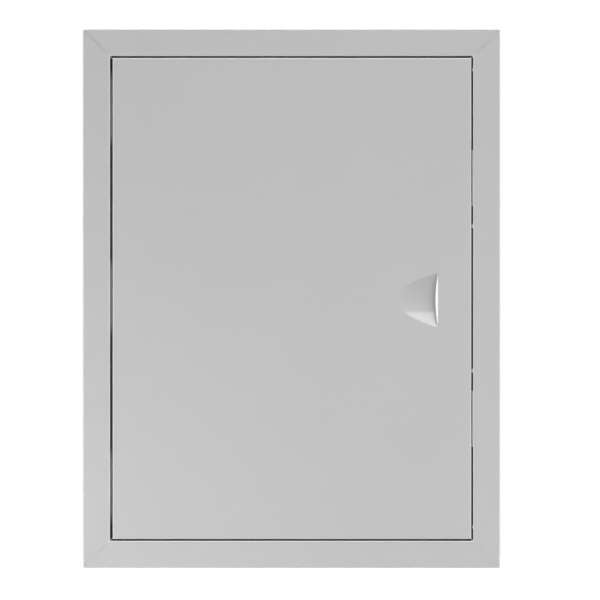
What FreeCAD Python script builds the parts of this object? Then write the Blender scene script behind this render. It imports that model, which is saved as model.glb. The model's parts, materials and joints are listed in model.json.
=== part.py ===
import FreeCAD, Part

# Steel access panel: a mitred frame of folded sheet and a flush door that swings on two pivot pins.
# Millimetres, +Z up. The origin is the middle of the wall opening, in the plane of the wall's face.
# The front looks towards -Y, the hinge side is -X, and the frame reaches into the wall along +Y.

import math
import os

import Sketcher
from FreeCAD import Placement, Rotation, Vector

SIZES = {
    # frame
    "opening_width": 300.0,  # outside of the frame's walls, which slide into the wall opening
    "opening_height": 400.0,
    "flange_width": 21.6,  # face of the frame beyond the walls
    "flange_return": 5.0,  # turned-back outer edge, which rests on the wall
    "frame_depth": 20.0,  # how far the frame reaches behind the wall's face
    "stop_width": 14.0,  # lip at the back of the walls
    "frame_sheet": 0.7,
    "bend_radius": 0.2,  # inside radius of every fold
    "mitre_gap": 0.18,
    "fixing_offset": 132.0,  # screw holes in the side walls, above and below the middle
    "fixing_depth": 12.0,
    "fixing_hole_radius": 2.25,
    "anchor_offset": 158.0,  # bend-out tabs in the side walls
    "anchor_length": 26.0,
    "anchor_width": 9.0,
    "anchor_slit": 1.2,
    "pip_offset": 59.5,  # pressed pips that centre the leaf on the latch side
    "pip_inset": 3.2,
    "pip_base_radius": 2.2,
    "pip_top_radius": 1.2,
    "pip_clearance": 0.2,  # between a pip and the closed leaf
    "end_pip_inset": 11.9,  # lower pips near the ends of the rail
    "end_pip_base_radius": 1.5,
    "end_pip_top_radius": 0.8,
    "end_pip_clearance": 0.6,
    "gusset_sheet": 1.2,
    "gusset_leg": 48.0,
    "gusset_clearance": 0.5,  # to the rail's wall and to the edge of the flange
    "weld_radius": 2.5,
    "weld_dent": 0.3,
    # door leaf
    "hinge_gap": 2.2,
    "latch_gap": 1.5,
    "end_gap": 1.5,
    "door_sheet": 0.7,
    "door_depth": 12.0,
    "hinge_lip": 4.0,
    "latch_lip": 14.0,
    "end_lip": 6.0,
    "seam": 0.2,  # half the slit where two folded edges of the leaf meet
    "scoop_reach": 27.2,  # from the slit to the latch edge of the leaf
    "scoop_drop": 1.2,  # the scoop's middle below the middle of the leaf
    "scoop_radius": 33.8,
    "scoop_depth": 8.5,  # square to the scoop's floor, at the slit
    "scoop_tilt": 14.4,  # degrees between the scoop's floor and the leaf
    "scoop_rim": 1.4,  # rounding where the scoop leaves the leaf
    # pivots
    "pivot_inset": 9.0,  # from the hinge edge of the leaf
    "pin_radius": 2.0,
    "pin_clearance": 0.06,
    "pin_head_radius": 3.4,
    "pin_head": 1.0,
    "pin_chamfer": 0.5,
    "pin_point": 0.6,  # how far the upper pin stands out above the top rail
    "pin_stand": 2.0,  # how far the lower pin reaches past its bush
    "bush_radius": 3.2,
    "bush_flange_radius": 4.6,
    "bush_sleeve": 4.0,
    "thrust_clearance": 0.1,
    "seat_clearance": 0.03,
    "spring_length": 21.0,
    "spring_turns": 5.0,
    "spring_wire": 0.4,  # radius of the wire
    "spring_clearance": 0.5,
    "clip_radius": 4.4,
    "clip_sheet": 0.8,
    "clip_groove": 0.5,
    "clip_mouth": 1.3,  # half of the clip's open side
    "bracket_sheet": 1.2,
    "bracket_width": 7.6,
    "bracket_nose": 5.0,  # how far the ear reaches past the pin
    "tail_drop": 8.0,  # the finger tail below the bracket's ear
    "tail_length": 16.0,
    "tail_bend": 4.0,
    # magnetic catches
    "catch_offset": 99.0,
    "catch_length": 46.0,
    "catch_width": 12.0,
    "catch_gap": 0.1,  # between the housing and the wall of the latch rail
    "catch_tab": 3.0,  # housing left under a screw's head
    "catch_edge": 1.0,
    "catch_lip": 0.8,  # thickness of the lip that runs forward along the wall, beside the leaf
    "catch_lip_inset": 2.5,  # from the front of the frame to the lip
    "catch_lip_edge": 0.25,
    "catch_floor": 2.0,
    "catch_clearance": 0.3,  # air between the poles and the closed leaf
    "magnet_length": 20.0,
    "magnet_width": 4.6,
    "pole_sheet": 1.2,
    "pole_stand": 0.8,  # how far the poles stand out of the housing
    "screw_spacing": 33.0,
    "screw_radius": 1.45,
    "screw_head_radius": 2.9,
    "screw_head": 1.8,
    "screw_length": 9.0,
    "screw_clearance": 0.1,
    "screw_well_clearance": 0.6,  # round the head, in the housing
}

doc = FreeCAD.newDocument("access_panel")
sizes = doc.addObject("Spreadsheet::Sheet", "Sizes")
for row, (alias, number) in enumerate(SIZES.items(), start=1):
    sizes.set(f"A{row}", alias)
    sizes.set(f"B{row}", str(number))
    sizes.setAlias(f"B{row}", alias)
doc.recompute()


class Size:
    """A length that carries its number and the expression on the sheet that drives it."""

    def __init__(self, number, text):
        self.number = float(number)
        self.text = text

    def __add__(self, other):
        other = as_size(other)
        return Size(self.number + other.number, f"({self.text} + {other.text})")

    def __sub__(self, other):
        other = as_size(other)
        return Size(self.number - other.number, f"({self.text} - {other.text})")

    def __mul__(self, factor):
        factor = as_size(factor)
        return Size(self.number * factor.number, f"({self.text} * {factor.text})")

    def __truediv__(self, divisor):
        return Size(self.number / divisor, f"({self.text} / {divisor})")

    def __neg__(self):
        return Size(-self.number, f"(0 - {self.text})")


def as_size(value):
    return value if isinstance(value, Size) else Size(value, f"({value})")


def sized(alias):
    return Size(sizes.get(alias), f"Sizes.{alias}")


def sine(angle):
    return Size(math.sin(math.radians(angle.number)), f"sin({angle.text} * 1 deg)")


def cosine(angle):
    return Size(math.cos(math.radians(angle.number)), f"cos({angle.text} * 1 deg)")


ZERO = Size(0, "0")
MARGIN = Size(2, "2")  # how far a cutting shape runs past what it cuts

frame_sheet = sized("frame_sheet")
door_sheet = sized("door_sheet")
bend = sized("bend_radius")
frame_bend = bend + frame_sheet
door_bend = bend + door_sheet
flange_width = sized("flange_width")
stop_width = sized("stop_width")
half_width = sized("opening_width") / 2
half_height = sized("opening_height") / 2
front = -sized("flange_return")
frame_back = sized("frame_depth")
stop_front = frame_back - frame_sheet

door_left = -(half_width - frame_sheet - sized("hinge_gap"))
door_right = half_width - frame_sheet - sized("latch_gap")
door_top = half_height - frame_sheet - sized("end_gap")
door_back = front + sized("door_depth")
hinge_lip = sized("hinge_lip")
latch_lip = sized("latch_lip")
end_lip = sized("end_lip")

pivot_x = door_left + sized("pivot_inset")
pivot_y = front + sized("door_depth") / 2
pin_radius = sized("pin_radius")
pin_bore = pin_radius + sized("pin_clearance")
bush_radius = sized("bush_radius")
bush_flange = sized("end_gap") - sized("thrust_clearance")
bush_end = door_top - door_sheet - sized("bush_sleeve")
clip_sheet = sized("clip_sheet")
clip_top = bush_end - sized("thrust_clearance")
clip_bottom = clip_top - clip_sheet
ear_top = clip_bottom - sized("spring_length")
ear_bottom = ear_top - sized("bracket_sheet")


def new_body(label):
    body = doc.addObject("PartDesign::Body", label)
    body.Label = label
    return body


def place(item, x=ZERO, y=ZERO, z=ZERO, axis=Vector(0, 0, 1), angle=0.0):
    item.Placement = Placement(Vector(x.number, y.number, z.number), Rotation(axis, angle))
    for name, size in (("x", x), ("y", y), ("z", z)):
        item.setExpression(f"Placement.Base.{name}", size.text)


def origin_plane(body, role):
    return next(feature for feature in body.Origin.OriginFeatures if feature.Role == role)


def sketch_on(body, label, role, across=ZERO, up=ZERO, out=ZERO):
    """A sketch on one of the body's origin planes, moved within the plane and out of it."""
    sketch = body.newObject("Sketcher::SketchObject", label)
    sketch.AttachmentSupport = (origin_plane(body, role), [""])
    sketch.MapMode = "FlatFace"
    for name, size in (("x", across), ("y", up), ("z", out)):
        sketch.setExpression(f"AttachmentOffset.Base.{name}", size.text)
    return sketch


def pin_point(sketch, line, end, point):
    """Holds one point of the sketch at its two sizes from the sketch's origin."""
    for kind, size in zip(("DistanceX", "DistanceY"), point):
        constraint = sketch.addConstraint(Sketcher.Constraint(kind, -1, 1, line, end, size.number))
        sketch.setExpression(f"Constraints[{constraint}]", size.text)


def polygon(sketch, corners):
    first = sketch.GeometryCount
    spots = [Vector(x.number, y.number, 0) for x, y in corners]
    following = spots[1:] + spots[:1]
    sketch.addGeometry([Part.LineSegment(a, b) for a, b in zip(spots, following)], False)
    for index, corner in enumerate(corners):
        after = first + (index + 1) % len(corners)
        sketch.addConstraint(Sketcher.Constraint("Coincident", first + index, 2, after, 1))
        pin_point(sketch, first + index, 1, corner)


def rectangle(sketch, left, bottom, right, top):
    polygon(sketch, [(left, bottom), (right, bottom), (right, top), (left, top)])


def circle(sketch, x, y, radius):
    centre = Vector(x.number, y.number, 0)
    index = sketch.addGeometry(Part.Circle(centre, Vector(0, 0, 1), radius.number), False)
    pin_point(sketch, index, 3, (x, y))
    constraint = sketch.addConstraint(Sketcher.Constraint("Radius", index, radius.number))
    sketch.setExpression(f"Constraints[{constraint}]", radius.text)


def pad(body, sketch, length, symmetric=False, reverse=False):
    feature = body.newObject("PartDesign::Pad", sketch.Name + "_pad")
    feature.Profile = sketch
    feature.SideType = "Symmetric" if symmetric else "One side"
    feature.Reversed = reverse
    feature.setExpression("Length", length.text)
    return finish(body, feature)


def pocket(body, sketch, length=None, reverse=False):
    """Cuts the sketch through everything both ways, or to one length."""
    before = body.Shape.Volume
    feature = body.newObject("PartDesign::Pocket", sketch.Name + "_pocket")
    feature.Profile = sketch
    feature.Reversed = reverse
    if length is None:
        feature.SideType = "Symmetric"
        feature.Type = "ThroughAll"
    else:
        feature.setExpression("Length", length.text)
    finish(body, feature)
    if body.Shape.Volume >= before:
        raise RuntimeError(f"{feature.Label} cuts nothing")
    return feature


def revolve(body, sketch, kind="PartDesign::Revolution", axis="V_Axis"):
    feature = body.newObject(kind, sketch.Name + "_turn")
    feature.Profile = sketch
    feature.ReferenceAxis = (sketch, [axis])
    return finish(body, feature)


def round_edges(body, radius, chosen):
    """Fillets the edges of the body's solid that the test picks."""
    base = body.Tip
    names = [f"Edge{n}" for n, edge in enumerate(base.Shape.Edges, start=1) if chosen(edge)]
    if not names:
        raise RuntimeError(f"{body.Label} has no such edge")
    feature = body.newObject("PartDesign::Fillet", f"{body.Name}_round")
    feature.Base = (base, names)
    feature.setExpression("Radius", radius.text)
    return finish(body, feature)


def mirrored(body, features, role):
    feature = body.newObject("PartDesign::Mirrored", features[0].Name + "_mirror")
    feature.Originals = features
    feature.MirrorPlane = (origin_plane(body, role), [""])
    body.Tip = feature
    return finish(body, feature)


def finish(body, feature):
    doc.recompute()
    if not feature.isValid() or feature.Shape.isNull():
        raise RuntimeError(f"{feature.Label} failed in {body.Label}")
    return feature


def near(first, second):
    return abs(first - second) < 1e-4


def runs_along_z(edge, spots):
    """True for a straight upright edge that stands on one of the (x, y) spots."""
    box = edge.BoundBox
    if box.XLength > 1e-4 or box.YLength > 1e-4:
        return False
    return any(near(box.XMin, x.number) and near(box.YMin, y.number) for x, y in spots)


def lies_at_y(edge, level):
    box = edge.BoundBox
    return box.YLength < 1e-4 and near(box.YMin, level.number)


# Frame rails. Each is drawn as the latch-side rail, with u outwards along X, and turned into its place.


def rail(label, half_span, half_length, turn):
    body = new_body(label)
    outer = half_span + flange_width
    inner = half_span - frame_sheet
    profile = sketch_on(body, label + "_profile", "XY_Plane")
    polygon(
        profile,
        [
            (outer, ZERO),
            (outer, front),
            (inner, front),
            (inner, stop_front),
            (half_span - stop_width, stop_front),
            (half_span - stop_width, frame_back),
            (half_span, frame_back),
            (half_span, front + frame_sheet),
            (outer - frame_sheet, front + frame_sheet),
            (outer - frame_sheet, ZERO),
        ],
    )
    pad(body, profile, (half_length + flange_width) * 2, symmetric=True)
    outside_folds = [(outer, front), (inner, front), (half_span, frame_back)]
    inside_folds = [
        (inner, stop_front),
        (half_span, front + frame_sheet),
        (outer - frame_sheet, front + frame_sheet),
    ]
    round_edges(body, frame_bend, lambda edge: runs_along_z(edge, outside_folds))
    round_edges(body, bend, lambda edge: runs_along_z(edge, inside_folds))
    mitres = sketch_on(body, label + "_mitres", "XZ_Plane")
    for end in (1, -1):
        near_u = half_span - stop_width - MARGIN
        far_u = outer + MARGIN
        near_z = half_length - stop_width - MARGIN - sized("mitre_gap")
        far_z = half_length + flange_width + MARGIN - sized("mitre_gap")
        polygon(mitres, [(near_u, near_z * end), (far_u, far_z * end), (near_u, far_z * end)])
    pocket(body, mitres)
    place(body, axis=Vector(0, 1, 0), angle=turn)
    return body


def wall_holes(body, label, half_span, spots, radius):
    """Round holes square to the rail's wall, at (depth, length) spots."""
    holes = sketch_on(body, label, "YZ_Plane", out=half_span + MARGIN)
    for depth, along in spots:
        circle(holes, depth, along, radius)
    pocket(body, holes, frame_sheet + MARGIN * 2)


def anchor_tabs(body):
    """U-shaped slits that free a tab in the wall above and below the middle, to be bent out by hand."""
    slits = sketch_on(body, body.Name + "_anchors", "YZ_Plane", out=half_width + MARGIN)
    slit = sized("anchor_slit")
    half_tab = sized("anchor_width") / 2
    middle = frame_back / 2
    for end in (1, -1):
        root = (sized("anchor_offset") - sized("anchor_length") / 2) * end
        tip = (sized("anchor_offset") + sized("anchor_length") / 2) * end
        polygon(
            slits,
            [
                (middle - half_tab - slit, root),
                (middle - half_tab - slit, tip + slit * end),
                (middle + half_tab + slit, tip + slit * end),
                (middle + half_tab + slit, root),
                (middle + half_tab, root),
                (middle + half_tab, tip),
                (middle - half_tab, tip),
                (middle - half_tab, root),
            ],
        )
    pocket(body, slits, frame_sheet + MARGIN * 2)


def side_rail(label, turn):
    body = rail(label, half_width, half_height, turn)
    spots = [(sized("fixing_depth"), sized("fixing_offset") * end) for end in (1, -1)]
    wall_holes(body, label + "_fixings", half_width, spots, sized("fixing_hole_radius"))
    anchor_tabs(body)
    return body


def end_rail(label, turn, along, bore):
    body = rail(label, half_height, half_width, turn)
    wall_holes(body, label + "_pivot", half_height, [(pivot_y, along)], bore)
    return body


def add_pips(body):
    """Pressed pips on the inner face of the latch rail, hollow on the outer face."""
    inner = half_width - frame_sheet
    level = front + sized("pip_inset")
    features = []
    faces = (("boss", inner, "PartDesign::Revolution"), ("hollow", half_width, "PartDesign::Groove"))
    for pip, offset in (("pip", sized("pip_offset")), ("end_pip", half_height - sized("end_pip_inset"))):
        height = sized("latch_gap") - sized(pip + "_clearance")
        for name, face, kind in faces:
            sketch = sketch_on(body, f"{pip}_{name}", "XY_Plane", up=level, out=offset)
            polygon(
                sketch,
                [
                    (face, ZERO),
                    (face, sized(pip + "_base_radius")),
                    (face - height, sized(pip + "_top_radius")),
                    (face - height, ZERO),
                ],
            )
            features.append(revolve(body, sketch, kind, "H_Axis"))
    mirrored(body, features, "XY_Plane")


catch_x = half_width - frame_sheet - sized("catch_gap") - sized("catch_width") / 2


def catch_screw_holes(body):
    holes = sketch_on(body, "catch_holes", "XZ_Plane")
    for end in (1, -1):
        for side in (1, -1):
            height = sized("catch_offset") * end + sized("screw_spacing") / 2 * side
            circle(holes, catch_x, height, sized("screw_radius") + sized("seat_clearance"))
    pocket(body, holes)


hinge_rail = side_rail("hinge_rail", 180)
latch_rail = side_rail("latch_rail", 0)
add_pips(latch_rail)
catch_screw_holes(latch_rail)
top_rail = end_rail("top_rail", -90, -pivot_x, pin_bore)
bottom_rail = end_rail("bottom_rail", 90, pivot_x, pin_radius + sized("seat_clearance"))


# Flat gussets, spot welded behind the flange, hold the mitres together.


def corner_gusset(label, side, end):
    body = new_body(label)
    clear = sized("gusset_clearance")
    width = flange_width - frame_sheet - clear * 2
    near_x = half_width + clear
    near_z = half_height + clear
    far_x = near_x + width
    far_z = near_z + width
    leg = sized("gusset_leg")
    outline = sketch_on(body, label + "_outline", "XZ_Plane", out=-(front + frame_sheet))
    corners = [
        (far_x, far_z),
        (far_x - leg, far_z),
        (far_x - leg, near_z),
        (near_x, near_z),
        (near_x, far_z - leg),
        (far_x, far_z - leg),
    ]
    polygon(outline, [(x * side, z * end) for x, z in corners])
    pad(body, outline, sized("gusset_sheet"), reverse=True)
    back = -(front + frame_sheet + sized("gusset_sheet"))
    dents = sketch_on(body, label + "_welds", "XZ_Plane", out=back)
    half = width / 2
    for step in (1, 2):
        reach = half + (leg - width) / 2 * step
        circle(dents, (far_x - reach) * side, (near_z + half) * end, sized("weld_radius"))
        circle(dents, (near_x + half) * side, (far_z - reach) * end, sized("weld_radius"))
    pocket(body, dents, sized("weld_dent"), reverse=True)
    return body


gussets = [
    corner_gusset(f"corner_gusset_{height}_{hand}", side, end)
    for height, end in (("top", 1), ("bottom", -1))
    for hand, side in (("left", -1), ("right", 1))
]


# Door leaf: a folded tray with inward lips, slit at its corner seams, and a lanced finger scoop.


def leaf_tray(body):
    face = sketch_on(body, "leaf_face", "XZ_Plane", out=-front)
    rectangle(face, door_left, -door_top, door_right, door_top)
    pad(body, face, sized("door_depth"), reverse=True)
    hollow = sketch_on(body, "leaf_hollow", "XZ_Plane", out=-door_back)
    inner_top = door_top - door_sheet
    rectangle(hollow, door_left + door_sheet, -inner_top, door_right - door_sheet, inner_top)
    pocket(body, hollow, sized("door_depth") - door_sheet, reverse=True)
    round_edges(body, door_bend, lambda edge: lies_at_y(edge, front))
    round_edges(body, bend, lambda edge: lies_at_y(edge, front + door_sheet))
    lips = sketch_on(body, "leaf_lips", "XZ_Plane", out=-door_back)
    rectangle(lips, door_left, -door_top, door_right, door_top)
    rectangle(lips, door_left + hinge_lip, end_lip - door_top, door_right - latch_lip, door_top - end_lip)
    pad(body, lips, door_sheet)
    edge_x = (door_left, door_right)
    edge_z = (-door_top, door_top)

    def outer_back_edge(edge):
        box = edge.BoundBox
        upright = box.XLength < 1e-4 and any(near(box.XMin, x.number) for x in edge_x)
        level = box.ZLength < 1e-4 and any(near(box.ZMin, z.number) for z in edge_z)
        return lies_at_y(edge, door_back) and (upright or level)

    round_edges(body, door_bend, outer_back_edge)


def leaf_seams(body):
    """Diagonal slits from the back, where the folded edges meet at each corner, to just short of the face."""
    seam = sized("seam")
    slits = sketch_on(body, "leaf_seams", "XZ_Plane", out=-door_back)
    for x, side, lip in ((door_left, -1, hinge_lip), (door_right, 1, latch_lip)):
        for z, end in ((-door_top, -1), (door_top, 1)):
            tip_x = x + MARGIN * side
            tip_z = z + MARGIN * end
            root_x = x - (lip + end_lip) * side
            root_z = z - (lip + end_lip) * end
            polygon(
                slits,
                [
                    (tip_x + seam * side, tip_z - seam * end),
                    (tip_x - seam * side, tip_z + seam * end),
                    (root_x - seam * side, root_z + seam * end),
                    (root_x + seam * side, root_z - seam * end),
                ],
            )
    pocket(body, slits, sized("door_depth") - door_bend - door_sheet, reverse=True)


def scoop_cylinder(body, kind, radius, length):
    """A round bar on the scoop's tilted axis, cut square to that axis at the slit."""
    tilt = sized("scoop_tilt")
    lead = sized("scoop_radius") - sized("scoop_depth")
    bar = body.newObject(kind, "scoop_bar")
    bar.setExpression("Radius", radius.text)
    bar.setExpression("Height", length.text)
    slit_x = door_right - sized("scoop_reach")
    x = slit_x + lead * sine(tilt)
    y = front - lead * cosine(tilt)
    place(bar, x, y, -sized("scoop_drop"), Vector(0, 1, 0), -90)
    lean = f"rotation(vector(0; 0; 1); {tilt.text})"
    bar.setExpression("Placement.Rotation", f"{lean} * rotation(vector(0; 1; 0); -90)")
    return finish(body, bar)


def leaf_scoop(body):
    radius = sized("scoop_radius")
    length = radius * 2
    scoop_cylinder(body, "PartDesign::AdditiveCylinder", radius + door_sheet, length)
    trim = sketch_on(body, "scoop_trim", "XZ_Plane", out=-front)
    rectangle(
        trim,
        door_right - sized("scoop_reach") - radius * 3,
        -sized("scoop_drop") - radius * 2,
        door_right - door_bend,
        radius * 2 - sized("scoop_drop"),
    )
    pocket(body, trim, radius * 4, reverse=True)
    scoop_cylinder(body, "PartDesign::SubtractiveCylinder", radius, length)

    def on_rim(edge):
        return isinstance(edge.Curve, Part.Ellipse) and lies_at_y(edge, front)

    round_edges(body, sized("scoop_rim"), on_rim)


door_leaf = new_body("door_leaf")
leaf_tray(door_leaf)
leaf_seams(door_leaf)
leaf_scoop(door_leaf)


# Pivots. The lower pin is staked in the bottom rail. The upper one slides in the leaf against a spring.


def bored_leaf(body):
    holes = sketch_on(body, "leaf_pivots", "XY_Plane")
    circle(holes, pivot_x, pivot_y, bush_radius + sized("seat_clearance"))
    pocket(body, holes)


bored_leaf(door_leaf)


def lower_pivot_pin():
    body = new_body("lower_pivot_pin")
    under = -half_height
    top = sized("pin_stand") - bush_end
    chamfer = sized("pin_chamfer")
    profile = sketch_on(body, "lower_pin_profile", "XZ_Plane")
    polygon(
        profile,
        [
            (ZERO, under - sized("pin_head")),
            (sized("pin_head_radius"), under - sized("pin_head")),
            (sized("pin_head_radius"), under),
            (pin_radius, under),
            (pin_radius, top - chamfer),
            (pin_radius - chamfer, top),
            (ZERO, top),
        ],
    )
    revolve(body, profile)
    place(body, pivot_x, pivot_y)
    return body


def pivot_bush(label, height, turn):
    """A flanged bush pressed into the end of the leaf, with its flange in the gap."""
    body = new_body(label)
    end = -(door_sheet + sized("bush_sleeve"))
    profile = sketch_on(body, label + "_profile", "XZ_Plane")
    polygon(
        profile,
        [
            (pin_bore, end),
            (bush_radius, end),
            (bush_radius, ZERO),
            (sized("bush_flange_radius"), ZERO),
            (sized("bush_flange_radius"), bush_flange),
            (pin_bore, bush_flange),
        ],
    )
    revolve(body, profile)
    place(body, pivot_x, pivot_y, height, Vector(1, 0, 0), turn)
    return body


def pin_bracket():
    """A folded bracket welded to the leaf's hinge edge. Its ear guides the pin and carries the spring."""
    body = new_body("pin_bracket")
    left = door_left + door_sheet
    thick = sized("bracket_sheet")
    nose = pivot_x + sized("bracket_nose")
    half = sized("bracket_width") / 2
    profile = sketch_on(body, "bracket_profile", "XZ_Plane", out=-pivot_y)
    polygon(
        profile,
        [
            (left, ear_bottom),
            (nose, ear_bottom),
            (nose, ear_top),
            (left + thick, ear_top),
            (left + thick, clip_bottom),
            (left, clip_bottom),
        ],
    )
    pad(body, profile, sized("bracket_width"), symmetric=True)

    def folded(x, z):
        def chosen(edge):
            box = edge.BoundBox
            straight = box.XLength < 1e-4 and box.ZLength < 1e-4
            return straight and near(box.XMin, x.number) and near(box.ZMin, z.number)

        return chosen

    round_edges(body, bend, folded(left + thick, ear_top))
    round_edges(body, bend + thick, folded(left, ear_bottom))
    corners = [(nose, pivot_y - half), (nose, pivot_y + half)]
    round_edges(body, half - bend, lambda edge: runs_along_z(edge, corners))
    hole = sketch_on(body, "bracket_hole", "XY_Plane")
    circle(hole, pivot_x, pivot_y, pin_bore)
    pocket(body, hole)
    return body


def upper_pivot_pin():
    body = new_body("upper_pivot_pin")
    tip = half_height + sized("pin_point")
    tail = ear_bottom - sized("tail_drop")
    turn = sized("tail_bend")
    reach = sized("tail_length")
    path = sketch_on(body, "upper_pin_path", "XZ_Plane")
    centre = Vector(turn.number, (tail + turn).number, 0)
    knee = Part.ArcOfCircle(Part.Circle(centre, Vector(0, 0, 1), turn.number), math.pi, math.pi * 1.5)
    path.addGeometry(
        [
            Part.LineSegment(Vector(0, tip.number, 0), Vector(0, centre.y, 0)),
            knee,
            Part.LineSegment(Vector(centre.x, tail.number, 0), Vector(reach.number, tail.number, 0)),
        ],
        False,
    )
    path.addConstraint(Sketcher.Constraint("Coincident", 0, 2, 1, 1))
    path.addConstraint(Sketcher.Constraint("Coincident", 1, 2, 2, 1))
    path.addConstraint(Sketcher.Constraint("Horizontal", 2))
    pin_point(path, 0, 1, (ZERO, tip))
    pin_point(path, 0, 2, (ZERO, tail + turn))
    pin_point(path, 1, 3, (turn, tail + turn))
    for line, end, size in ((2, 1, turn), (2, 2, reach)):
        constraint = path.addConstraint(Sketcher.Constraint("DistanceX", -1, 1, line, end, size.number))
        path.setExpression(f"Constraints[{constraint}]", size.text)
    section = sketch_on(body, "upper_pin_section", "XY_Plane", out=tip)
    circle(section, ZERO, ZERO, pin_radius)
    wire = body.newObject("PartDesign::AdditivePipe", "upper_pin_wire")
    wire.Profile = section
    wire.Spine = (path, ["Edge1", "Edge2", "Edge3"])
    finish(body, wire)

    def tip_edge(edge):
        box = edge.BoundBox
        upper = box.ZLength < 1e-4 and near(box.ZMin, tip.number)
        lower = box.XLength < 1e-4 and near(box.XMin, reach.number)
        return upper or lower

    round_edges(body, sized("pin_chamfer"), tip_edge)
    groove = sketch_on(body, "clip_seat", "XZ_Plane")
    rectangle(
        groove,
        pin_radius - sized("clip_groove"),
        clip_bottom - sized("seat_clearance"),
        pin_radius + MARGIN,
        clip_top + sized("seat_clearance"),
    )
    revolve(body, groove, "PartDesign::Groove")
    place(body, pivot_x, pivot_y)
    return body


def pin_clip():
    """An open spring clip in the pin's groove, which the spring pushes up against the bush."""
    body = new_body("pin_clip")
    ring = sketch_on(body, "clip_ring", "XY_Plane", out=clip_bottom)
    circle(ring, ZERO, ZERO, sized("clip_radius"))
    circle(ring, ZERO, ZERO, pin_radius - sized("clip_groove") + sized("seat_clearance"))
    pad(body, ring, clip_sheet)
    mouth = sketch_on(body, "clip_opening", "XY_Plane")
    half = sized("clip_mouth")
    rectangle(mouth, ZERO, -half, sized("clip_radius") + MARGIN, half)
    pocket(body, mouth)
    place(body, pivot_x, pivot_y)
    return body


def biarc(start, start_way, end, end_way):
    """Two tangent arcs from one point and direction to the next."""
    across = end - start
    ways = start_way + end_way
    spread = 2 * (1 - start_way.dot(end_way))
    along = across.dot(ways)
    reach = (math.sqrt(along * along + spread * across.dot(across)) - along) / spread
    joint = (start + end + (start_way - end_way) * reach) * 0.5
    halves = ((start, joint, start + start_way * reach), (joint, end, end - end_way * reach))
    arcs = []
    for first, last, corner in halves:
        middle = (first + last) * 0.5
        half_chord = (last - first).Length / 2
        bulge = half_chord * math.tan(math.acos(half_chord / reach) / 2)
        arcs.append(Part.Arc(first, middle + (corner - middle).normalize() * bulge, last).toShape())
    return arcs


def pivot_spring():
    """One unbroken wire, wound on half-turn biarcs between the bracket's ear and the clip."""
    wire = sized("spring_wire").number
    radius = pin_radius.number + sized("spring_clearance").number + wire
    bottom = ear_top.number + wire
    height = clip_bottom.number - sized("thrust_clearance").number - wire - bottom
    turns = sized("spring_turns").number
    steps = round(turns * 2)

    def spot(share):
        angle = 2 * math.pi * turns * share
        return Vector(radius * math.cos(angle), radius * math.sin(angle), bottom + height * share)

    def way(share):
        angle = 2 * math.pi * turns * share
        circling = 2 * math.pi * turns * radius
        return Vector(-math.sin(angle) * circling, math.cos(angle) * circling, height).normalize()

    arcs = []
    for step in range(steps):
        low = step / steps
        high = (step + 1) / steps
        arcs += biarc(spot(low), way(low), spot(high), way(high))
    section = Part.Wire(Part.Circle(spot(0), way(0), wire).toShape())
    coil = doc.addObject("Part::Feature", "pivot_spring")
    coil.Shape = Part.Wire(arcs).makePipeShell([section], True, False)
    coil.Placement = Placement(Vector(pivot_x.number, pivot_y.number, 0), Rotation())
    line = [point for arc in arcs for point in arc.discretize(12)]
    turn = len(line) // steps * 2
    apart = min((a - b).Length for n, a in enumerate(line) for b in line[n + turn // 2 :])
    print("spring: least gap to itself", round(apart - 2 * wire, 3), "mm")
    return coil


pivots = [
    lower_pivot_pin(),
    pivot_bush("upper_pivot_bush", door_top, 0),
    pivot_bush("lower_pivot_bush", -door_top, 180),
    pin_bracket(),
    upper_pivot_pin(),
    pin_clip(),
    pivot_spring(),
]


# Magnetic catches, screwed to the stop lip of the latch rail, which pull on the lip of the closed leaf.

catch_front = door_back + sized("catch_clearance") + sized("pole_stand")
catch_height = stop_front - catch_front
magnet_depth = catch_height - sized("catch_floor")


def catch_housing(label, height):
    """A moulded block with a well for the magnet and its poles, and a lip that guides the leaf's edge."""
    body = new_body(label)
    half_wide = sized("catch_width") / 2
    lip_x = half_wide - sized("catch_lip")
    lip_front = front + sized("catch_lip_inset") - stop_front
    profile = sketch_on(body, label + "_profile", "XY_Plane")
    polygon(
        profile,
        [
            (-half_wide, ZERO),
            (half_wide, ZERO),
            (half_wide, lip_front),
            (lip_x, lip_front),
            (lip_x, -catch_height),
            (-half_wide, -catch_height),
        ],
    )
    pad(body, profile, sized("catch_length"), symmetric=True)
    blunt_edges = [(half_wide, ZERO), (-half_wide, -catch_height)]
    round_edges(body, sized("catch_edge"), lambda edge: runs_along_z(edge, blunt_edges))
    lead_in = [(lip_x, lip_front)]
    round_edges(body, sized("catch_lip_edge"), lambda edge: runs_along_z(edge, lead_in))
    well = sketch_on(body, label + "_well", "XZ_Plane", out=catch_height)
    clear = sized("seat_clearance")
    well_x = sized("magnet_width") / 2 + sized("pole_sheet") + clear
    well_z = sized("magnet_length") / 2 + clear
    rectangle(well, -well_x, -well_z, well_x, well_z)
    pocket(body, well, magnet_depth)
    heads = sketch_on(body, label + "_heads", "XZ_Plane", out=catch_height)
    holes = sketch_on(body, label + "_holes", "XZ_Plane")
    for side in (1, -1):
        place_z = sized("screw_spacing") / 2 * side
        circle(heads, ZERO, place_z, sized("screw_head_radius") + sized("screw_well_clearance"))
        circle(holes, ZERO, place_z, sized("screw_radius") + sized("screw_clearance"))
    pocket(body, heads, catch_height - sized("catch_tab"))
    pocket(body, holes)
    place(body, catch_x, stop_front, height)
    return body


def block(label, width, depth, length, x, y, z):
    item = doc.addObject("Part::Box", label)
    for name, size in (("Length", width), ("Width", depth), ("Height", length)):
        item.setExpression(name, size.text)
    place(item, x, y, z)
    return item


def group(label, items):
    compound = doc.addObject("Part::Compound", label)
    compound.Links = items
    return compound


def catch_magnet(label, height):
    width = sized("magnet_width")
    length = sized("magnet_length")
    return block(label, width, magnet_depth, length, catch_x - width / 2, catch_front, height - length / 2)


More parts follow.
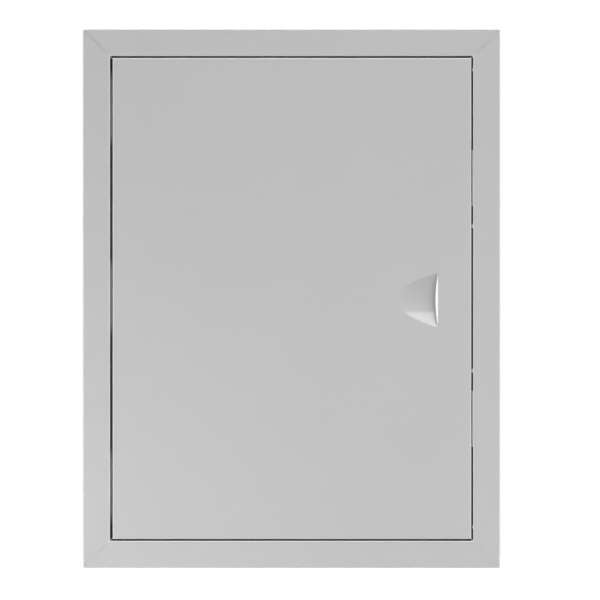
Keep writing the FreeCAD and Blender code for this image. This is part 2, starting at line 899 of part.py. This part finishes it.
def catch_poles(label, height):
    sheet = sized("pole_sheet")
    length = sized("magnet_length")
    depth = magnet_depth + sized("pole_stand")
    y = catch_front - sized("pole_stand")
    z = height - length / 2
    beside = sized("magnet_width") / 2
    plates = [
        block(f"{label}_{side}", sheet, depth, length, x, y, z)
        for side, x in (("inner", catch_x - beside - sheet), ("outer", catch_x + beside))
    ]
    return group(label, plates)


def catch_screw(label, height):
    """A dome-headed screw through a tab of the housing into the stop lip."""
    body = new_body(label)
    radius = sized("screw_radius")
    head_radius = sized("screw_head_radius")
    seat = stop_front - sized("catch_tab")
    top = seat - sized("screw_head")
    tip = seat + sized("screw_length")
    profile = sketch_on(body, label + "_profile", "XY_Plane")
    polygon(
        profile,
        [
            (ZERO, top),
            (radius, top),
            (head_radius, seat - sized("screw_head") / 2),
            (head_radius, seat),
            (radius, seat),
            (radius, tip - radius),
            (ZERO, tip),
        ],
    )
    revolve(body, profile)
    place(body, catch_x, ZERO, height)
    return body


def catch_screws(label, height):
    half = sized("screw_spacing") / 2
    return group(label, [catch_screw(f"{label}_{n}", height + half * side) for n, side in ((1, 1), (2, -1))])


catches = []
for where, height in (("upper", sized("catch_offset")), ("lower", -sized("catch_offset"))):
    catches.append(catch_housing(f"{where}_catch_housing", height))
    catches.append(catch_magnet(f"{where}_catch_magnet", height))
    catches.append(catch_poles(f"{where}_catch_poles", height))
    catches.append(catch_screws(f"{where}_catch_screws", height))


doc.recompute()
for item in doc.Objects:
    if "Invalid" in item.State or "Error" in item.State:
        raise RuntimeError(f"{item.Label} did not compute")
nodes = [top_rail, bottom_rail, hinge_rail, latch_rail, *gussets, door_leaf, *pivots, *catches]
for node in nodes:
    if node.Shape.isNull() or not node.Shape.isValid():
        raise RuntimeError(f"{node.Label} has no valid shape")
os.makedirs("parts", exist_ok=True)
for node in nodes:
    node.Shape.exportStep(f"parts/{node.Label}.step")
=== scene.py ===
import json
import math

import bmesh
import bpy
from mathutils import Matrix, Vector


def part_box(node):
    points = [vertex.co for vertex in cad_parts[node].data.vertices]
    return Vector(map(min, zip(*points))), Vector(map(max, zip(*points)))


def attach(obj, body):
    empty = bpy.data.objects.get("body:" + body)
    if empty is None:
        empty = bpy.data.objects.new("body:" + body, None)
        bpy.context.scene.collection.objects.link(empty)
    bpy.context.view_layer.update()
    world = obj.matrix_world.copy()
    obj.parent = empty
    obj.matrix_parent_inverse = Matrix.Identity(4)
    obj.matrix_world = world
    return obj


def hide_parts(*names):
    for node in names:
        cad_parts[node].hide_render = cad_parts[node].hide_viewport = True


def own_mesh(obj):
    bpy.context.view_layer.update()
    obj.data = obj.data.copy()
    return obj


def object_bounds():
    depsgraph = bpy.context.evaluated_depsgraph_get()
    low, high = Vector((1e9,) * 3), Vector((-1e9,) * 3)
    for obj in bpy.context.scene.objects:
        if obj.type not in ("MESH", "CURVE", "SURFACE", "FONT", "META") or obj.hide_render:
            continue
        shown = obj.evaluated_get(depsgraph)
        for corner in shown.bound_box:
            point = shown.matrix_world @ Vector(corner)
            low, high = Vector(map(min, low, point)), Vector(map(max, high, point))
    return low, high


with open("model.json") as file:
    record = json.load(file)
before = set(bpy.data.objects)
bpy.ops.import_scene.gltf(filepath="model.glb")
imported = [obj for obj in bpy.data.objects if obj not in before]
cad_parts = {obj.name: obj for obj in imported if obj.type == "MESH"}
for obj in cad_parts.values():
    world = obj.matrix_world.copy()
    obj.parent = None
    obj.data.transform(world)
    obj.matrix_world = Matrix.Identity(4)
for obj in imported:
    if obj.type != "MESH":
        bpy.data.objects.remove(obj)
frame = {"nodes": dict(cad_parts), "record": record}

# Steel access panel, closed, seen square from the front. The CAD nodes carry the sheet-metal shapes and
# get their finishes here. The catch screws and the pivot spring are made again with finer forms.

cad_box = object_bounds()
nodes = frame["nodes"]
scene = bpy.context.scene
MM = 0.001


# Node trees


def feed(tree, entry, value):
    """Links a socket to a node's input, or sets the input to a plain value."""
    if isinstance(value, bpy.types.NodeSocket):
        tree.links.new(value, entry)
    else:
        entry.default_value = value


def add(tree, kind, settings=None):
    """Adds a node and sets its properties and inputs, each by its name or number."""
    node = tree.nodes.new(kind)
    for name, value in (settings or {}).items():
        if isinstance(name, str) and hasattr(node, name):
            setattr(node, name, value)
        else:
            feed(tree, node.inputs[name], value)
    return node


def calc(tree, operation, *terms):
    """The result of a maths node on sockets or plain numbers."""
    return add(tree, "ShaderNodeMath", {"operation": operation, **dict(enumerate(terms))}).outputs["Value"]


def vector(tree, x=0.0, y=0.0, z=0.0):
    """A vector of sockets or plain numbers."""
    return add(tree, "ShaderNodeCombineXYZ", {"X": x, "Y": y, "Z": z}).outputs["Vector"]


# Finishes


def to_linear(hex_colour):
    """An sRGB hex colour as linear RGBA."""
    channels = [int(hex_colour[i : i + 2], 16) / 255 for i in (1, 3, 5)]
    return [c / 12.92 if c <= 0.04045 else ((c + 0.055) / 1.055) ** 2.4 for c in channels] + [1.0]


def new_finish(name, **constants):
    """A material whose shader starts with these constants, and the object coordinates for its patterns."""
    material = bpy.data.materials.new(name)
    material.use_nodes = True
    tree = material.node_tree
    shader = tree.nodes["Principled BSDF"]
    for socket, value in constants.items():
        shader.inputs[socket.replace("_", " ")].default_value = value
    spot = add(tree, "ShaderNodeTexCoord").outputs["Object"]
    return material, tree, shader, spot


def noise(tree, spot, size, detail=2.0):
    """A cloudy pattern with lumps of about that size."""
    settings = {"Vector": spot, "Scale": 1 / size, "Detail": detail}
    return add(tree, "ShaderNodeTexNoise", settings).outputs["Fac"]


def mix(tree, share, first, second):
    """A mix of two colours in hex, or of two numbers. Either may come from a socket."""
    coloured = isinstance(first, str) or isinstance(second, str)
    node = add(tree, "ShaderNodeMix", {"data_type": "RGBA" if coloured else "FLOAT", "Factor": share})
    for name, value in (("A", first), ("B", second)):
        feed(tree, node.inputs[name], to_linear(value) if isinstance(value, str) else value)
    return node.outputs["Result"]


def remap(tree, value, **limits):
    """Carries a value from one range to another. The limits are From_Min, From_Max, To_Min and To_Max."""
    settings = {name.replace("_", " "): limit for name, limit in limits.items()}
    return add(tree, "ShaderNodeMapRange", {"Value": value, **settings}).outputs["Result"]


def smooth_step(tree, value, low, high):
    """Rises smoothly from 0 to 1 between two values."""
    settings = {"interpolation_type": "SMOOTHSTEP", "Value": value, "From Min": low, "From Max": high}
    return add(tree, "ShaderNodeMapRange", settings).outputs["Result"]


def emboss(tree, shader, pattern, strength, depth):
    """Gives the surface a fine relief that follows a pattern."""
    bump = add(tree, "ShaderNodeBump", {"Height": pattern, "Strength": strength, "Distance": depth})
    feed(tree, shader.inputs["Normal"], bump.outputs["Normal"])


def painted_fold_highlight(tree, place, normal):
    """A painted highlight: above 0 on the folds round the leaf and the rails, and 0 on flat sheet and in the
    scoop.
    """
    level_share = 0.4  # of the tint of an upright fold
    strength = 6.0
    scoop_side = 140 * MM  # the scoop lies nearer the middle than these two
    scoop_end = 190 * MM
    way = add(tree, "ShaderNodeSeparateXYZ", {"Vector": normal}).outputs
    ahead, aside, upward = (calc(tree, "POWER", way[axis], 2.0) for axis in "YXZ")
    # flat sheet looks straight ahead, aside or up, so these products are above 0 only on a curve
    upright_fold = calc(tree, "MULTIPLY", ahead, aside)
    level_fold = calc(tree, "MULTIPLY", calc(tree, "MULTIPLY", ahead, upward), level_share)
    past_side = calc(tree, "GREATER_THAN", calc(tree, "ABSOLUTE", place["X"]), scoop_side)
    past_end = calc(tree, "GREATER_THAN", calc(tree, "ABSOLUTE", place["Z"]), scoop_end)
    curve = calc(tree, "ADD", upright_fold, level_fold)
    fold = calc(tree, "MULTIPLY", curve, calc(tree, "MAXIMUM", past_side, past_end))
    return calc(tree, "MULTIPLY", fold, strength)


def painted_shade_inside(tree, place, normal):
    """Painted shade: rises to 1 deep inside the frame, and less so at three places along the hinge side,
    where painted light lifts it.
    """
    shallow, deep = 4 * MM, 13 * MM
    hinge_wall = -147.5 * MM
    spacing, middle = 156 * MM, 2 * MM  # of the three places
    most_lit = 0.9
    outwards = vector(tree, place["X"], 1.0, place["Z"])
    facing = add(tree, "ShaderNodeVectorMath", {"operation": "DOT_PRODUCT", 0: outwards, 1: normal})
    # a face that looks towards the middle or the front of the frame gives a product below 0
    inside = calc(tree, "LESS_THAN", facing.outputs["Value"], 0.0)
    turn = 2 * math.pi / spacing
    # painted light lifts the painted shade at three places along the hinge side
    wave = calc(tree, "COSINE", calc(tree, "MULTIPLY_ADD", place["Z"], turn, -middle * turn))
    lit_share = calc(tree, "MULTIPLY", smooth_step(tree, wave, 0.2, 0.7), most_lit)
    hinge_side = calc(tree, "LESS_THAN", place["X"], hinge_wall)
    shaded_share = calc(tree, "SUBTRACT", 1.0, calc(tree, "MULTIPLY", lit_share, hinge_side))
    depth = smooth_step(tree, place["Y"], shallow, deep)
    return calc(tree, "MULTIPLY", calc(tree, "MULTIPLY", inside, shaded_share), depth)


def powder_coat():
    # Polyester powder coat, sprayed on bent steel sheet and baked: an even semi-gloss grey. A fine orange
    # peel softens its reflections, and the film is a touch cloudier here and there. The folds round the leaf
    # and the rails are painted a paler grey, a painted highlight. Deep inside the frame the grey is painted
    # dark, a painted shade, and the coat is made dull there. At three places along the hinge side, painted
    # light lifts that shade.
    material, tree, shader, spot = new_finish("grey_powder_coat", IOR=1.55)
    place = add(tree, "ShaderNodeSeparateXYZ", {"Vector": spot}).outputs
    normal = add(tree, "ShaderNodeTexCoord").outputs["Normal"]
    cloud = noise(tree, spot, 90 * MM, 3.0)
    inside_shade = painted_shade_inside(tree, place, normal)
    full = mix(tree, cloud, "#bebebe", "#c1c1c1")
    # painted highlight: the folds are painted a paler grey, #e8e8e8
    fold_highlit = mix(tree, painted_fold_highlight(tree, place, normal), full, "#e8e8e8")
    # painted shade: deep inside the frame the grey is painted dark, #6e6e6e, and the coat is made dull
    feed(tree, shader.inputs["Base Color"], mix(tree, inside_shade, fold_highlit, "#6e6e6e"))
    gloss = remap(tree, cloud, From_Min=0.3, From_Max=0.7, To_Min=0.1, To_Max=0.13)
    feed(tree, shader.inputs["Roughness"], mix(tree, inside_shade, gloss, 0.65))
    # real peel is under 2 mm from crest to crest; 3 mm still shows at this picture's size
    emboss(tree, shader, noise(tree, spot, 3 * MM, 1.0), 0.05, 0.05 * MM)
    return material


def zinc_plate():
    # Zinc-plated steel, turned and cut from rod and strip: bright with a cool tint and faint tool marks.
    material, tree, shader, spot = new_finish("zinc_plated_steel", Metallic=1.0)
    marks = add(tree, "ShaderNodeMapping", {"Vector": spot, "Scale": (1.0, 1.0, 12.0)})
    lines = noise(tree, marks.outputs["Vector"], 2 * MM, 3.0)
    feed(tree, shader.inputs["Base Color"], mix(tree, lines, "#b9bcc0", "#cfd0cb"))
    feed(tree, shader.inputs["Roughness"], remap(tree, lines, To_Min=0.22, To_Max=0.42))
    return material


def spring_wire_steel():
    # Hard-drawn spring wire, coiled: darker than plate and finely streaked.
    material, tree, shader, spot = new_finish("spring_steel_wire", Metallic=1.0)
    streaks = noise(tree, spot, 0.8 * MM)
    feed(tree, shader.inputs["Base Color"], mix(tree, streaks, "#77797c", "#96979a"))
    feed(tree, shader.inputs["Roughness"], remap(tree, streaks, To_Min=0.25, To_Max=0.4))
    return material


def moulded_nylon():
    # Black nylon, moulded: a dull skin with the fine grain of a spark-eroded tool.
    material, tree, shader, spot = new_finish("black_nylon", IOR=1.53)
    grain = noise(tree, spot, 0.4 * MM)
    feed(tree, shader.inputs["Base Color"], mix(tree, grain, "#1c1c1e", "#2a2a2c"))
    feed(tree, shader.inputs["Roughness"], remap(tree, grain, To_Min=0.42, To_Max=0.58))
    emboss(tree, shader, grain, 0.25, 0.02 * MM)
    return material


def moulded_housing():
    # Off-white polypropylene, moulded: waxy, with a fine even grain and a faint cloudiness.
    material, tree, shader, spot = new_finish("off_white_polypropylene", IOR=1.49)
    cloud = noise(tree, spot, 9 * MM)
    grain = noise(tree, spot, 0.5 * MM, 1.0)
    feed(tree, shader.inputs["Base Color"], mix(tree, cloud, "#dcdbd6", "#e6e5e0"))
    feed(tree, shader.inputs["Roughness"], remap(tree, grain, To_Min=0.38, To_Max=0.5))
    emboss(tree, shader, grain, 0.2, 0.02 * MM)
    return material


def sintered_ferrite():
    # Ferrite, pressed from powder and fired: charcoal, matt and slightly mottled, with pores.
    material, tree, shader, spot = new_finish("sintered_ferrite", Roughness=0.7)
    mottle = noise(tree, spot, 1.5 * MM, 5.0)
    feed(tree, shader.inputs["Base Color"], mix(tree, mottle, "#2b2b2d", "#444446"))
    pores = add(tree, "ShaderNodeTexVoronoi", {"Vector": spot, "Scale": 1 / (0.7 * MM)})
    emboss(tree, shader, pores.outputs["Distance"], 0.3, 0.05 * MM)
    return material


finishes = {
    "grey_paint": powder_coat(),
    "zinc_steel": zinc_plate(),
    "spring_steel": spring_wire_steel(),
    "black_nylon": moulded_nylon(),
    "pale_plastic": moulded_housing(),
    "ferrite": sintered_ferrite(),
}

for part in frame["record"]["subparts"]:
    mesh = nodes[part["node"]].data
    mesh.materials.clear()
    mesh.materials.append(finishes[part["material_slot"]])


# Catch screws and pivot spring, finer than their solids


def new_tree(name, sizes, places):
    """An empty Geometry Nodes tree with named inputs, and the sockets that give their values."""
    tree = bpy.data.node_groups.new(name, "GeometryNodeTree")
    for size in sizes:
        tree.interface.new_socket(size, in_out="INPUT", socket_type="NodeSocketFloat")
    for place in places:
        tree.interface.new_socket(place, in_out="INPUT", socket_type="NodeSocketVector")
    tree.interface.new_socket("Geometry", in_out="OUTPUT", socket_type="NodeSocketGeometry")
    return tree, add(tree, "NodeGroupInput").outputs


def finish_tree(tree, shape, slot):
    """Ends a tree: instances become real and take the slot's finish."""
    real = add(tree, "GeometryNodeRealizeInstances", {"Geometry": shape}).outputs["Geometry"]
    coated = add(tree, "GeometryNodeSetMaterial", {"Geometry": real, "Material": finishes[slot]})
    add(tree, "NodeGroupOutput", {"Geometry": coated.outputs["Geometry"]})


def grow(name, tree, values):
    """Runs a tree with these input values and keeps the result as a plain mesh."""
    piece = bpy.data.objects.new(name, bpy.data.meshes.new(name))
    scene.collection.objects.link(piece)
    modifier = piece.modifiers.new(name, "NODES")
    modifier.node_group = tree
    for item in tree.interface.items_tree:
        if item.in_out == "INPUT":
            modifier[item.identifier] = values[item.name]
    shape = bpy.data.meshes.new_from_object(piece.evaluated_get(bpy.context.evaluated_depsgraph_get()))
    piece.modifiers.remove(modifier)
    piece.data = shape
    shape.shade_smooth()
    shape.set_sharp_from_angle(angle=math.radians(40))
    return piece


def moved(tree, shape, place):
    return add(tree, "GeometryNodeTransform", {"Geometry": shape, "Translation": place}).outputs["Geometry"]


def joined(tree, shapes):
    node = add(tree, "GeometryNodeJoinGeometry")
    for shape in shapes:
        feed(tree, node.inputs["Geometry"], shape)
    return node.outputs["Geometry"]


def swept(tree, path, section):
    """A solid bar of the section along the path, without twist."""
    upright = add(tree, "GeometryNodeSetCurveNormal", {"mode": "Z_UP", "Curve": path})
    bar = add(
        tree,
        "GeometryNodeCurveToMesh",
        {"Curve": upright.outputs["Curve"], "Profile Curve": section.outputs["Curve"], "Fill Caps": True},
    )
    return bar.outputs["Mesh"]


def screw_head(tree, given):
    """A half-round dome that stands on Z = 0, with a cross recess in its top."""
    ball = add(tree, "GeometryNodeMeshUVSphere", {"Segments": 40, "Rings": 20, "Radius": 1.0})
    bulge = vector(tree, given["Head Radius"], given["Head Radius"], given["Head Height"])
    egg = add(tree, "GeometryNodeTransform", {"Geometry": ball.outputs["Mesh"], "Scale": bulge})
    spot = add(tree, "GeometryNodeInputPosition").outputs["Position"]
    lifted = add(tree, "ShaderNodeVectorMath", {"operation": "MAXIMUM", 0: spot, 1: (-1, -1, 0)})
    dome = add(
        tree,
        "GeometryNodeSetPosition",
        {"Geometry": egg.outputs["Geometry"], "Position": lifted.outputs["Vector"]},
    )
    head = add(
        tree,
        "GeometryNodeMergeByDistance",
        {"Geometry": dome.outputs["Geometry"], "Distance": 0.001 * MM},
    )
    recessed = add(
        tree,
        "GeometryNodeMeshBoolean",
        {"operation": "DIFFERENCE", "Mesh 1": head.outputs["Geometry"]},
    )
    top = vector(tree, z=given["Head Height"])
    length, width = given["Recess Length"], given["Recess Width"]
    for x, y in ((length, width), (width, length)):
        bit = add(tree, "GeometryNodeMeshCube", {"Size": vector(tree, x, y, given["Head Height"])})
        feed(tree, recessed.inputs["Mesh 2"], moved(tree, bit.outputs["Mesh"], top))
    return recessed.outputs["Mesh"]


def screw_shank(tree, given):
    """A core with a point and a right-hand thread, down from Z = 0."""
    radius, length = given["Core Radius"], given["Threaded Length"]
    core = add(
        tree,
        "GeometryNodeMeshCone",
        {"Vertices": 24, "Radius Top": radius, "Radius Bottom": radius, "Depth": length},
    )
    point = add(
        tree,
        "GeometryNodeMeshCone",
        {"Vertices": 24, "Radius Top": 0.05 * MM, "Radius Bottom": radius, "Depth": given["Point Length"]},
    )
    pointed = add(
        tree,
        "GeometryNodeTransform",
        {"Geometry": point.outputs["Mesh"], "Rotation": (math.pi, 0, 0)},
    )
    path = add(
        tree,
        "GeometryNodeCurveSpiral",
        {
            "Resolution": 24,
            "Rotations": calc(tree, "DIVIDE", length, given["Pitch"]),
            "Start Radius": radius,
            "End Radius": radius,
            "Height": length,
            "Reverse": True,
        },
    )
    rise = calc(tree, "SUBTRACT", given["Crest Radius"], radius)
    ridge = add(tree, "GeometryNodeCurvePrimitiveCircle", {"Resolution": 4, "Radius": rise})
    thread = swept(tree, path.outputs["Curve"], ridge)
    shank = joined(tree, (core.outputs["Mesh"], pointed.outputs["Geometry"], thread))
    return moved(tree, shank, vector(tree, z=calc(tree, "MULTIPLY", length, -1.0)))


def catch_screw_tree():
    """Two screws, made along Z, turned to the front and driven home at angles of their own."""
    head_sizes = ("Head Radius", "Head Height", "Recess Length", "Recess Width")
    shank_sizes = ("Crest Radius", "Core Radius", "Threaded Length", "Point Length", "Pitch")
    tree, given = new_tree("catch_screws", (*head_sizes, *shank_sizes, "Spacing"), ("Seat",))
    screw = joined(tree, (screw_head(tree, given), screw_shank(tree, given)))
    apart = vector(tree, z=given["Spacing"])
    half = add(tree, "ShaderNodeVectorMath", {"operation": "SCALE", 0: apart, "Scale": 0.5})
    first = add(
        tree,
        "ShaderNodeVectorMath",
        {"operation": "SUBTRACT", 0: given["Seat"], 1: half.outputs["Vector"]},
    )
    spots = add(
        tree,
        "GeometryNodeMeshLine",
        {"Count": 2, "Start Location": first.outputs["Vector"], "Offset": apart},
    )
    quarter_turn = math.pi / 2
    driven = add(tree, "FunctionNodeRandomValue", {3: quarter_turn, "Seed": 4})
    pair = add(
        tree,
        "GeometryNodeInstanceOnPoints",
        {
            "Points": spots.outputs["Mesh"],
            "Instance": screw,
            "Rotation": vector(tree, quarter_turn, driven.outputs[1]),
        },
    )
    finish_tree(tree, pair.outputs["Instances"], "zinc_steel")
    return tree


def pivot_spring_tree():
    """A right-hand spring of round wire. Its first and last turns lie close, so that its ends sit square."""
    sizes = ("Turns", "Closed Turns", "Coil Radius", "Wire Radius", "Height")
    tree, given = new_tree("pivot_spring", sizes, ("Foot",))
    closed_pitch = 2.1  # wire radii from turn to turn
    ring = add(
        tree,
        "GeometryNodeCurveSpiral",
        {
            "Resolution": 32,
            "Rotations": given["Turns"],
            "Start Radius": given["Coil Radius"],
            "End Radius": given["Coil Radius"],
            "Height": 0.0,
            "Reverse": True,
        },
    )
    along = add(tree, "GeometryNodeSplineParameter").outputs["Factor"]
    turned = calc(tree, "MULTIPLY", along, given["Turns"])
    last = calc(tree, "SUBTRACT", given["Turns"], given["Closed Turns"])
    open_share = remap(tree, turned, From_Min=given["Closed Turns"], From_Max=last)
    solid = calc(tree, "MULTIPLY", given["Turns"], calc(tree, "MULTIPLY", given["Wire Radius"], closed_pitch))
    spare = calc(tree, "SUBTRACT", given["Height"], solid)
    level = calc(tree, "MULTIPLY_ADD", open_share, spare, calc(tree, "MULTIPLY", along, solid))
    coil = add(
        tree,
        "GeometryNodeSetPosition",
        {"Geometry": ring.outputs["Curve"], "Offset": vector(tree, z=level)},
    )
    section = add(
        tree,
        "GeometryNodeCurvePrimitiveCircle",
        {"Resolution": 14, "Radius": given["Wire Radius"]},
    )
    wire = swept(tree, coil.outputs["Geometry"], section)
    finish_tree(tree, moved(tree, wire, given["Foot"]), "spring_steel")
    return tree


screw_tree = catch_screw_tree()
head_height = 1.8 * MM
for where in ("upper", "lower"):
    low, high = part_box(f"{where}_catch_screws")
    middle = (low + high) / 2
    screws = grow(
        f"{where}_cross_head_screws",
        screw_tree,
        {
            "Head Radius": 2.9 * MM,
            "Head Height": head_height,
            "Recess Length": 3.0 * MM,
            "Recess Width": 0.7 * MM,
            "Crest Radius": 1.45 * MM,
            "Core Radius": 1.05 * MM,
            "Threaded Length": 7.6 * MM,
            "Point Length": 1.4 * MM,
            "Pitch": 1.1 * MM,
            "Spacing": 33 * MM,
            "Seat": (middle.x, low.y + head_height, middle.z),
        },
    )
    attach(screws, "frame")
    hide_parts(f"{where}_catch_screws")

low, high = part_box("pivot_spring")
middle = (low + high) / 2
wire_radius = 0.4 * MM
spring = grow(
    "wound_pivot_spring",
    pivot_spring_tree(),
    {
        "Turns": 6.5,
        "Closed Turns": 0.75,
        "Coil Radius": 2.9 * MM,
        "Wire Radius": wire_radius,
        "Height": high.z - low.z - 2 * wire_radius,
        "Foot": (middle.x, middle.y, low.z + wire_radius),
    },
)
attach(spring, "door")
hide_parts("pivot_spring")
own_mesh(spring)


# Stage: a round pale floor, a white surround, soft boxes above, in front and behind, and fill lamps


def seen_directly(tree):
    """Gives 1 where the camera, a mirror or a clear piece looks at the backdrop, and 0 where it lights."""
    path = add(tree, "ShaderNodeLightPath").outputs
    seen = calc(tree, "MAXIMUM", path["Is Camera Ray"], path["Is Glossy Ray"])
    return calc(tree, "MAXIMUM", seen, path["Is Transmission Ray"])


def studio_floor():
    mesh = bpy.data.meshes.new("floor")
    outline = bmesh.new()
    bmesh.ops.create_circle(outline, cap_ends=True, radius=0.9, segments=128)
    outline.to_mesh(mesh)
    outline.free()
    floor = bpy.data.objects.new("floor", mesh)
    floor.location.z = cad_box[0].z
    scene.collection.objects.link(floor)
    white = (1, 1, 1, 1)
    glow = 0.25
    material, tree, shader, spot = new_finish("matt_white_floor", Roughness=0.9, Emission_Color=white)
    fleck = noise(tree, spot, 30 * MM)
    feed(tree, shader.inputs["Base Color"], mix(tree, fleck, "#f6f6f6", "#f9f9f9"))
    feed(tree, shader.inputs["Emission Strength"], calc(tree, "MULTIPLY", seen_directly(tree), glow))
    mesh.materials.append(material)


def soft_box(name, place, target, size, brightness, mirrored=True, spread=180):
    """A rectangular lamp that faces the target, as bright as that many whites.

    A fill lamp isn't mirrored in the part. A smaller spread, in degrees, narrows the beam.
    """
    lamp = bpy.data.lights.new(name, "AREA")
    lamp.shape = "RECTANGLE"
    lamp.size, lamp.size_y = size
    lamp.energy = brightness * math.pi * lamp.size * lamp.size_y
    lamp.spread = math.radians(spread)
    holder = bpy.data.objects.new(name, lamp)
    place = Vector(place)
    aim = (Vector(target) - place).to_track_quat("-Z", "Y")
    holder.matrix_world = Matrix.Translation(place) @ aim.to_matrix().to_4x4()
    holder.visible_camera = False
    holder.visible_glossy = mirrored
    scene.collection.objects.link(holder)


def lamps():
    soft_box("overhead_box", (0.7, -1.275, 1.8), (0.7, -1.275, 0), (2.6, 2.35), 3.15)
    soft_box("front_box", (0, -3.0, 0.7), (0, 0, 0), (5.0, 3.0), 0.14)
    soft_box("left_fill", (-1.6, -0.5, 0.2), (0, 0, 0.1), (0.9, 1.6), 1.65, mirrored=False)
    soft_box("right_fill", (1.2, -1.0, 0.8), (0.1, 0, 0.1), (1.4, 1.4), 0.7, mirrored=False)
    # lights the floor at the front left, which throws light up on the low corner of the panel
    floor_spot = (-0.3, -0.25, -0.22)
    soft_box("floor_fill", (-0.5, -0.55, 0.8), floor_spot, (0.3, 0.3), 1.15, mirrored=False, spread=35)
    soft_box("back_box", (0.3, 2.2, 1.2), (0, 0, 0), (2.6, 2.2), 2.4)


def white_surround():
    """A world that shows white and lights little."""
    shown, lighting = 1.0, 0.06
    world = bpy.data.worlds.new("white_surround")
    world.use_nodes = True
    tree = world.node_tree
    tree.nodes.clear()
    level = remap(tree, seen_directly(tree), To_Min=lighting, To_Max=shown)
    white = add(tree, "ShaderNodeBackground", {"Color": (1, 1, 1, 1), "Strength": level})
    add(tree, "ShaderNodeOutputWorld", {"Surface": white.outputs["Background"]})
    scene.world = world


def square_on_camera():
    """A long lens far in front, so that the panel shows with hardly any perspective, as in the photograph."""
    distance = 20.0
    view_width = 493.4 * MM
    aim_x, aim_z = 6.95 * MM, -1.25 * MM  # the panel stands a little left of the picture's middle
    lens = bpy.data.cameras.new("camera")
    lens.lens = lens.sensor_width * distance / view_width
    lens.clip_end = distance * 2
    camera = bpy.data.objects.new("camera", lens)
    camera.location = (aim_x, cad_box[0].y - distance, aim_z)
    camera.rotation_euler = (math.radians(90), 0, 0)
    scene.collection.objects.link(camera)
    scene.camera = camera


studio_floor()
lamps()
white_surround()
square_on_camera()
scene.view_settings.view_transform = "Standard"
